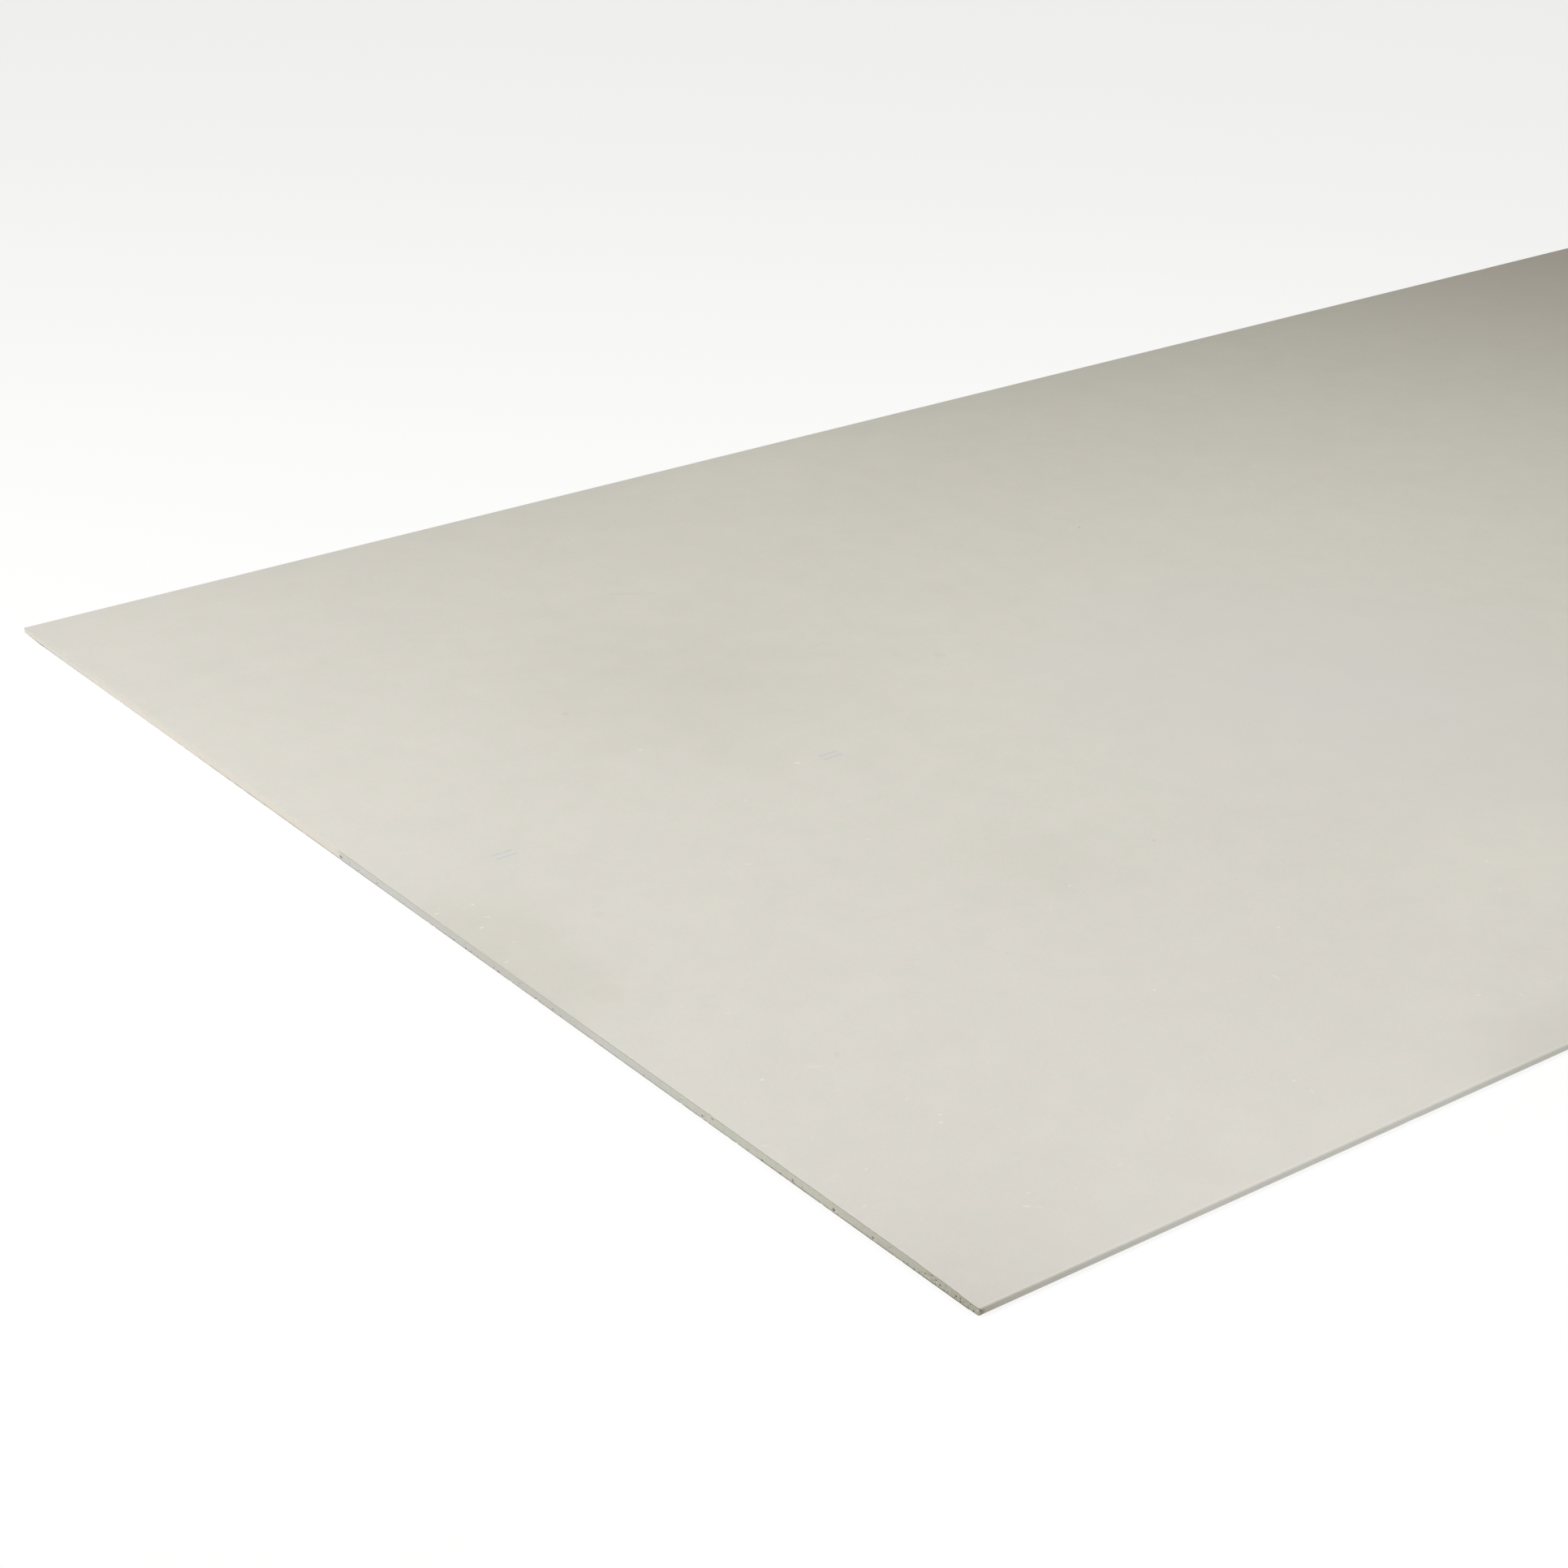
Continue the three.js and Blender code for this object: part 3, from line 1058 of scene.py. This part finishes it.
def gypsum_dust():
    """Fine white powder that the cut leaves near both ends of the board."""
    inputs = [("Vector", None), ("Reach", 30.0), ("Amount", 0.5)]
    graph, given, result = new_group("Gypsum Dust", inputs, ["Mask"])
    parts = graph.add("ShaderNodeSeparateXYZ", {"Vector": given["Vector"]}).outputs
    gap = graph.math("SUBTRACT", HALF_LENGTH, graph.math("ABSOLUTE", parts["X"]))
    nearness = graph.math("SUBTRACT", 1.0, graph.math("DIVIDE", gap, given["Reach"]), clamp=True)
    nearness = graph.math("POWER", nearness, 3.0)
    drifts = graph.step(graph.noise(given["Vector"], size=14.0, detail=5.0, roughness=0.7), 0.45, 0.75)
    graph.feed(result["Mask"], graph.times(nearness, drifts, given["Amount"]))
    return graph.tree


def edge_wear_and_shading():
    """Grime and painted shade on the long sides, and the paler band over the bends above them, partly a
    rub and partly a painted highlight.
    """
    inputs = [("Vector", None), ("Reach", 5.0)]
    graph, given, result = new_group("Edge Wear And Shading", inputs, ["Soiled", "Rub And Highlight"])
    parts = graph.add("ShaderNodeSeparateXYZ", {"Vector": given["Vector"]}).outputs
    gap = graph.math("SUBTRACT", HALF_WIDTH, graph.math("ABSOLUTE", parts["Y"]))
    patches = graph.step(graph.noise(given["Vector"], size=60.0, detail=5.0, roughness=0.65), 0.35, 0.7)
    nearness = graph.step(graph.math("DIVIDE", gap, given["Reach"]), 1.0, 0.0)
    graph.feed(result["Soiled"], graph.times(nearness, graph.between(patches, 0.7, 1.0)))
    above = graph.step(parts["Z"], *SHOULDER_BAND_HEIGHTS)
    band = graph.times(graph.step(gap, *SHOULDER_BAND_OUTER), graph.step(gap, *SHOULDER_BAND_INNER), above)
    graph.feed(result["Rub And Highlight"], band)
    return graph.tree


def corner_darkening():
    """Grey-brown darkening towards both corners of one long edge."""
    inputs = [("Vector", None), ("Reach", 90.0)]
    graph, given, result = new_group("Corner Darkening", inputs, ["Mask"])
    parts = graph.add("ShaderNodeSeparateXYZ", {"Vector": given["Vector"]}).outputs
    end_gap = graph.math("SUBTRACT", HALF_LENGTH, graph.math("ABSOLUTE", parts["X"]))
    edge_gap = graph.math("ADD", HALF_WIDTH, parts["Y"])
    from_corner = graph.add("ShaderNodeCombineXYZ", {"X": end_gap, "Y": edge_gap}).outputs[0]
    distance = graph.math("DIVIDE", graph.vector("LENGTH", from_corner), given["Reach"])
    nearness = graph.math("EXPONENT", graph.times(distance, -1.0))
    patches = graph.between(graph.noise(given["Vector"], size=12.0, detail=4.0), 0.75, 1.25)
    graph.feed(result["Mask"], graph.times(nearness, patches))
    return graph.tree


def placed_spot():
    """One soft-edged spot, streak or cloud with its middle at a given point. It has its full
    strength from its middle out to the share of its extent that Core gives."""
    inputs = [("Vector", None), ("Centre", None), ("Extent", None), ("Turn", 0.0)]
    inputs += [("Grain", 0.5), ("Raggedness", 0.3), ("Core", 0.5)]
    graph, given, result = new_group("Placed Spot", inputs, ["Mask"])
    away = graph.vector("SUBTRACT", given["Vector"], given["Centre"])
    inputs = {"Vector": away, "Angle": given["Turn"]}
    turned = graph.add("ShaderNodeVectorRotate", inputs, rotation_type="Z_AXIS", invert=True)
    share = graph.vector("LENGTH", graph.vector("DIVIDE", turned.outputs[0], given["Extent"]))
    rough = graph.math("SUBTRACT", given["Grain"], 0.5)
    share = graph.math("ADD", share, graph.times(rough, given["Raggedness"]))
    graph.feed(result["Mask"], graph.step(share, 1.0, given["Core"]))
    return graph.tree


def printed_dash():
    """One printed dash with square ends and an edge that breaks up in the paper's grain."""
    inputs = [("Vector", None), ("Centre", None), ("Half Size", None)]
    graph, given, result = new_group("Printed Dash", inputs, ["Mask"])
    away = graph.vector("ABSOLUTE", graph.vector("SUBTRACT", given["Vector"], given["Centre"]))
    over = graph.vector("SUBTRACT", away, given["Half Size"])
    parts = graph.add("ShaderNodeSeparateXYZ", {"Vector": over}).outputs
    gap = graph.math("MAXIMUM", parts["X"], parts["Y"])
    grain = graph.noise(given["Vector"], size=0.7, detail=2.0)
    rough = graph.between(grain, -DASH_RAGGED, DASH_RAGGED)
    graph.feed(result["Mask"], graph.step(graph.math("ADD", gap, rough), DASH_RIM, -DASH_RIM))
    return graph.tree


FORMATION = paper_formation()
FLECKS = scattered_flecks()
DUST = gypsum_dust()
EDGE_WEAR_AND_SHADING = edge_wear_and_shading()
CORNER_DARKENING = corner_darkening()
SPOT = placed_spot()
DASH = printed_dash()


# ------------------------------------------------------------------------------------------
# Finishes
# ------------------------------------------------------------------------------------------


class Finish(Graph):
    """A material with one plain Principled shader, whose graph reads millimetres. From toned
    on, its methods take the colour so far and give it with one more thing laid over it."""

    def __init__(self, name, sheen):
        self.material = bpy.data.materials.new(name)
        self.material.use_nodes = True
        super().__init__(self.material.node_tree)
        self.tree.nodes.clear()
        self.shader = self.add("ShaderNodeBsdfPrincipled", {"Specular IOR Level": sheen})
        output = self.add("ShaderNodeOutputMaterial")
        self.tree.links.new(self.shader.outputs[0], output.inputs["Surface"])
        position = self.add("ShaderNodeTexCoord").outputs["Object"]
        self.point = self.scaled(position, 1.0 / MM)
        self.parts = self.add("ShaderNodeSeparateXYZ", {"Vector": self.point}).outputs

    def shade(self, colour, roughness, height, relief):
        """relief is the height in millimetres that a height of 1 stands for."""
        self.feed(self.shader.inputs["Base Color"], colour)
        self.feed(self.shader.inputs["Roughness"], roughness)
        inputs = {"Height": height, "Distance": relief * MM, "Strength": 1.0}
        bump = self.add("ShaderNodeBump", inputs)
        self.feed(self.shader.inputs["Normal"], bump.outputs["Normal"])
        return self.material

    def toned(self, colour, value, swing):
        """colour made lighter and darker by up to swing as value goes from 1 to 0."""
        return self.scaled(colour, self.between(value, 1.0 - swing, 1.0 + swing))

    def mottled(self, colour, tones):
        for size, detail, swing in tones:
            colour = self.toned(colour, self.noise(self.point, size, detail=detail), swing)
        return colour

    def flecked(self, colour, *kinds):
        for spacing, size, share, strength, tint in kinds:
            inputs = {"spacing": spacing, "size": size, "share": share}
            flecks = self.place(FLECKS, vector=self.point, **inputs)["Mask"]
            colour = self.mix(self.times(flecks, strength), colour, tint)
        return colour

    def spotted(self, colour, tint, strength, **spot):
        mask = self.place(SPOT, vector=self.point, **spot)["Mask"]
        return self.mix(self.times(mask, strength), colour, tint)

    def darkened_at_corners(self, colour, tint, reach, share):
        """Darker towards the corners of the near long edge."""
        mask = self.place(CORNER_DARKENING, vector=self.point, reach=reach)["Mask"]
        return self.mix(self.times(mask, share), colour, tint)

    def dusted(self, colour, dust):
        mask = self.place(DUST, vector=self.point, **dust)["Mask"]
        return self.mix(mask, colour, CHALK)


def clouded(finish, colour):
    """colour with the board's broad darker, paler and tinted clouds, which cross from the face paper
    over the bends and cuts."""
    drift = finish.noise(finish.point, size=45.0, detail=3.0)
    for x, y, half_x, half_y, strength, tint in CLOUDS:
        cloud = {
            "centre": (x, y, 0.0),
            "extent": (half_x, half_y, CLOUD_HEIGHT),
            "grain": drift,
            "raggedness": 0.6,
            "core": 0.0,
        }
        colour = finish.spotted(colour, tint, strength, **cloud)
    return colour


def scuffed(finish, colour, grain):
    """colour with the brown rub on the wrap's four corners."""
    for (end, side), half in CORNER_SCUFFS.items():
        rub = {
            "centre": (end * HALF_LENGTH, side * HALF_WIDTH, SCUFF_HEIGHT),
            "extent": (half, SCUFF_DEPTH * half, SCUFF_REACH),
            "grain": grain,
            "raggedness": 0.6,
        }
        colour = finish.spotted(colour, SCUFF_BROWN, 1.0, **rub)
    return colour


def dashed(finish, colour):
    """colour with the setting-out dashes on it."""
    for centre_x, centre_y in DASH_CENTRES:
        for offset in DASH_OFFSETS:
            middle = (centre_x, centre_y + offset, THICKNESS)
            dash = finish.place(DASH, vector=finish.point, centre=middle, half_size=DASH_HALF_SIZE)
            colour = finish.mix(finish.times(dash["Mask"], DASH_STRENGTH), colour, PRINT_BLUE)
    return colour


def marked(finish, colour, grain):
    """colour with the face's own specks, scratches and smudges."""
    for x, y, half_x, half_y, turn, strength, tint in FACE_SPOTS:
        spot = {
            "centre": (x, y, THICKNESS),
            "extent": (half_x, half_y, SPOT_HEIGHT),
            "turn": math.radians(turn),
            "grain": grain,
            "raggedness": 0.5,
        }
        colour = finish.spotted(colour, tint, strength, **spot)
    return colour


def ivory_face():
    """The calendered ivory face paper."""
    finish = Finish("ivory face paper", sheen=0.3)
    point = finish.point
    web = finish.place(FORMATION, vector=point, **FACE_WEB)
    tint = finish.step(finish.noise(point, size=13.0, detail=5.0, roughness=0.7), 0.35, 0.65)
    colour = finish.mix(tint, IVORY_ROSE, IVORY_MOSS)
    colour = finish.toned(colour, web["Clouds"], swing=0.035)
    colour = finish.mottled(colour, FACE_TONES)
    colour = finish.toned(colour, web["Fibres"], swing=0.012)
    colour = clouded(finish, colour)
    colour = finish.flecked(colour, *FACE_FLECKS)
    colour = dashed(finish, colour)
    grain = finish.noise(point, size=1.2, detail=3.0)
    colour = marked(finish, colour, grain)

    edge_marks = finish.place(EDGE_WEAR_AND_SHADING, vector=point, reach=SIDE_REACH)
    # The long sides are made darker and greener: partly grime, partly painted shade.
    colour = finish.mix(finish.times(edge_marks["Soiled"], SIDE_GRIME_AND_SHADE), colour, GRIME_AND_SHADE)
    # The shoulders are made paler: partly a rub, partly a painted highlight on the bend.
    colour = finish.mix(finish.times(edge_marks["Rub And Highlight"], SHOULDER_RUB_AND_HIGHLIGHT), colour, BLEACHED)
    on_side = finish.step(finish.math("ABSOLUTE", finish.parts["Y"]), SIDE_FROM, SIDE_TO)
    share = finish.between(on_side, FACE_CORNER_SHARE, SIDE_CORNER_SHARE)
    colour = finish.darkened_at_corners(colour, DARK_BROWN, PAPER_CORNER_REACH, share)
    colour = scuffed(finish, colour, grain)
    colour = finish.dusted(colour, FACE_DUST)

    waviness = finish.noise(point, size=55.0, detail=1.0)
    height = finish.math("ADD", web["Fibres"], finish.times(waviness, FACE_COCKLE))
    roughness = finish.between(web["Fibres"], 0.66, 0.74)
    return finish.shade(colour, roughness=roughness, height=height, relief=0.012)


def cut_paper(name, ply_colour, chip_colour):
    """The cut side of a paper: its plies as fine lines, chipped here and there."""
    finish = Finish(name, sheen=0.15)
    plies = finish.vector("MULTIPLY", finish.point, PLY_SQUEEZE)
    lines = finish.noise(plies, size=0.8, detail=3.0, roughness=0.6)
    colour = finish.toned(ply_colour, lines, swing=0.45)
    colour = finish.flecked(colour, (*PLY_CHIPS, chip_colour))
    grain = finish.noise(finish.point, size=5.0, detail=4.0, roughness=0.7)
    dust = finish.times(finish.step(grain, 0.52, 0.72), PLY_DUST)
    colour = finish.mix(finish.math("MAXIMUM", dust, pale_stretch(finish)), colour, CREAM)
    colour = foot_shadow_and_grime(finish, clouded(finish, colour))
    colour = finish.darkened_at_corners(colour, CORNER_BROWN, CUT_CORNER_REACH, CUT_CORNER_SHARE)
    colour = scuffed(finish, colour, grain)
    return finish.shade(colour, roughness=0.9, height=lines, relief=0.06)


def near_half(finish):
    """1 over the half of the board with the near cut end, and 0 over the other."""
    return finish.math("LESS_THAN", finish.parts["X"], 0.0)


def pale_stretch(finish):
    """The paler, creamier part of the near cut end, beyond its middle."""
    wander = finish.noise(finish.point, size=PALE_WANDER_SIZE)
    wander = finish.between(wander, -PALE_WANDER, PALE_WANDER)
    line = finish.math("ADD", finish.parts["Y"], wander)
    along = finish.step(line, PALE_FROM + PALE_RIM[0], PALE_FROM + PALE_RIM[1])
    share = finish.between(finish.step(finish.parts["Y"], *PALE_THINS), *PALE_SHARES)
    return finish.times(along, near_half(finish), share)


def paleness_left(finish):
    """How much of that paleness the core has: less near the top of the cut."""
    upper = finish.step(finish.parts["Z"], *PALE_HEIGHTS)
    worn_off = finish.times(upper, finish.step(finish.parts["Y"], *PALE_SINKS))
    return finish.between(worn_off, 1.0, PALE_LEFT)


def dust_veil(finish):
    """A veil of fine, cool dust on the near cut end, thickest at its foot."""
    along = finish.step(finish.parts["Y"], DUST_FROM, DUST_TO)
    share = finish.between(finish.step(finish.parts["Z"], *DUST_HEIGHTS), *DUST_SHARES)
    return finish.times(along, near_half(finish), share)


def foot_shadow_and_grime(finish, colour):
    """colour with the dark, patchy line along the foot of a cut: painted contact shadow, with some
    grime left by stacking.
    """
    on_near_half = near_half(finish)
    amount = FOOT_SHADOW_AND_GRIME
    for middle, half, strength in FOOT_SHADOW_STRETCHES:
        away = finish.math("ABSOLUTE", finish.math("SUBTRACT", finish.parts["Y"], middle))
        band = finish.step(away, half + FOOT_FADE, half - FOOT_FADE)
        amount = finish.math("ADD", amount, finish.times(band, on_near_half, strength))
    patches = finish.step(finish.noise(finish.point, size=16.0, detail=4.0), 0.35, 0.65)
    foot = finish.step(finish.parts["Z"], *FOOT_HEIGHTS)
    share = finish.times(foot, amount, finish.between(patches, 0.6, 1.4))
    return finish.mix(share, colour, DARK_BROWN)


def cast_gypsum():
    """The foamed gypsum core, bare at the cut ends."""
    finish = Finish("cast gypsum", sheen=0.2)
    grain = finish.noise(finish.point, size=0.45, detail=3.0, roughness=0.65)
    lumps = finish.noise(finish.point, size=3.2, detail=3.0, roughness=0.6)
    colour = finish.toned(GYPSUM, grain, swing=0.14)
    colour = finish.toned(colour, lumps, swing=0.10)
    colour = finish.mottled(colour, CORE_TONES)
    colour = finish.mix(dust_veil(finish), colour, FINE_DUST)
    # The paler, creamier stretch of the near cut end.
    powder = finish.times(pale_stretch(finish), paleness_left(finish))
    colour = finish.mix(powder, colour, CREAM)
    colour = foot_shadow_and_grime(finish, clouded(finish, colour))
    colour = finish.darkened_at_corners(colour, CORNER_BROWN, CUT_CORNER_REACH, CUT_CORNER_SHARE)
    pores = finish.place(FLECKS, vector=finish.point, **CORE_PORES)["Mask"]
    colour = finish.mix(finish.times(pores, PORE_SHADE), colour, VOID_GREY)
    colour = finish.flecked(colour, CORE_CRYSTALS)

    crumb = finish.add("ShaderNodeAttribute", attribute_name="crumb").outputs["Fac"]
    void = finish.add("ShaderNodeAttribute", attribute_name="void").outputs["Fac"]
    colour = finish.mix(finish.times(crumb, CRUMB_PALENESS), colour, CREAM)
    # The voids are darkened towards their middles: painted shade in the hollows, partly dirt.
    colour = finish.mix(finish.step(void, 0.0, VOID_DARKENS), colour, VOID_GREY)
    height = finish.math("SUBTRACT", finish.math("ADD", grain, lumps), pores)
    return finish.shade(colour, roughness=0.93, height=height, relief=0.09)


def liner_back():
    """The grey-brown recycled back paper, uncoated and full of stray fibres."""
    finish = Finish("back liner", sheen=0.15)
    web = finish.place(FORMATION, vector=finish.point, **LINER_WEB)
    colour = finish.toned(LINER, web["Clouds"], swing=0.16)
    colour = finish.toned(colour, web["Fibres"], swing=0.10)
    colour = finish.mottled(colour, LINER_TONES)
    colour = finish.flecked(colour, *LINER_FLECKS)
    from_middle = finish.math("ABSOLUTE", finish.parts["Y"])
    flap_end = HALF_WIDTH - FLAP_WIDTH
    glued = finish.step(from_middle, flap_end - GLUE_FADE, flap_end + GLUE_FADE)
    colour = finish.mix(finish.times(glued, GLUE_SHADE), colour, PLY_BROWN)
    colour = finish.dusted(colour, LINER_DUST)
    height = finish.math("ADD", web["Fibres"], finish.times(web["Clouds"], LINER_COCKLE))
    roughness = finish.between(web["Fibres"], 0.85, 0.95)
    return finish.shade(colour, roughness=roughness, height=height, relief=0.03)


# ------------------------------------------------------------------------------------------
# Stage
# ------------------------------------------------------------------------------------------


def build_floor():
    mesh = bpy.data.meshes.new("floor")
    corners = [(-FLOOR_REACH, -FLOOR_REACH), (FLOOR_REACH, -FLOOR_REACH)]
    corners += [(FLOOR_REACH, FLOOR_REACH), (-FLOOR_REACH, FLOOR_REACH)]
    mesh.from_pydata([(x, y, FLOOR_HEIGHT) for x, y in corners], [], [(0, 1, 2, 3)])
    floor = bpy.data.objects.new("floor", mesh)
    bpy.context.scene.collection.objects.link(floor)
    finish = bpy.data.materials.new("studio floor")
    finish.use_nodes = True
    shader = finish.node_tree.nodes["Principled BSDF"]
    shader.inputs["Base Color"].default_value = (*FLOOR_COLOUR, 1.0)
    shader.inputs["Roughness"].default_value = FLOOR_ROUGHNESS
    shader.inputs["Specular IOR Level"].default_value = 0.0
    shader.inputs["Emission Color"].default_value = (*FLOOR_GLOW, 1.0)
    shader.inputs["Emission Strength"].default_value = 1.0
    mesh.materials.append(finish)


def build_light(name, place, target, size, power, colour):
    lamp = bpy.data.lights.new(name, "AREA")
    lamp.shape = "DISK"
    lamp.size = size
    lamp.energy = power
    lamp.color = colour
    holder = bpy.data.objects.new(name, lamp)
    holder.location = place
    holder.rotation_euler = (Vector(target) - Vector(place)).to_track_quat("-Z", "Y").to_euler()
    bpy.context.scene.collection.objects.link(holder)


def build_sky(colour, strength, backdrop):
    world = bpy.data.worlds.new("studio")
    world.use_nodes = True
    graph = Graph(world.node_tree)
    lighting = world.node_tree.nodes["Background"]
    lighting.inputs["Color"].default_value = (*colour, 1.0)
    lighting.inputs["Strength"].default_value = strength
    seen = graph.add("ShaderNodeBackground", {"Color": backdrop})
    by_camera = graph.add("ShaderNodeLightPath").outputs["Is Camera Ray"]
    inputs = {0: by_camera, 1: lighting.outputs[0], 2: seen.outputs[0]}
    chosen = graph.add("ShaderNodeMixShader", inputs)
    output = world.node_tree.nodes["World Output"]
    graph.feed(output.inputs["Surface"], chosen.outputs[0])
    bpy.context.scene.world = world


def build_camera():
    lens = bpy.data.cameras.new("camera")
    lens.lens = CAMERA_LENS
    lens.sensor_width = CAMERA_SENSOR
    camera = bpy.data.objects.new("camera", lens)
    camera.location = CAMERA_PLACE
    camera.rotation_euler = tuple(math.radians(turn) for turn in CAMERA_TURN)
    bpy.context.scene.collection.objects.link(camera)
    bpy.context.scene.camera = camera


# ------------------------------------------------------------------------------------------
# Put together
# ------------------------------------------------------------------------------------------

face = ivory_face()
face_cut = cut_paper("cut side of face paper", PLY_BUFF, PLY_BROWN)
back = liner_back()
# The back liner's cut gets dark grey plies: its own colour, darkened further as painted contact shadow
# along the foot.
back_cut = cut_paper("cut side of back liner", PLY_GREY, VOID_GREY)

core = build_core([cast_gypsum()])
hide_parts("gypsum_core")
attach(core, "root")

liner = build_face_paper([face, face_cut])
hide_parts("face_paper")
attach(liner, "root")

backing = build_back_paper([back, back_cut])
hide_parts("back_paper")
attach(backing, "root")

build_floor()
build_camera()
build_sky(SKY_COLOUR, SKY_STRENGTH, BACKDROP)
for lamp in LIGHTS:
    build_light(*lamp)
bpy.context.scene.view_settings.view_transform = "Standard"
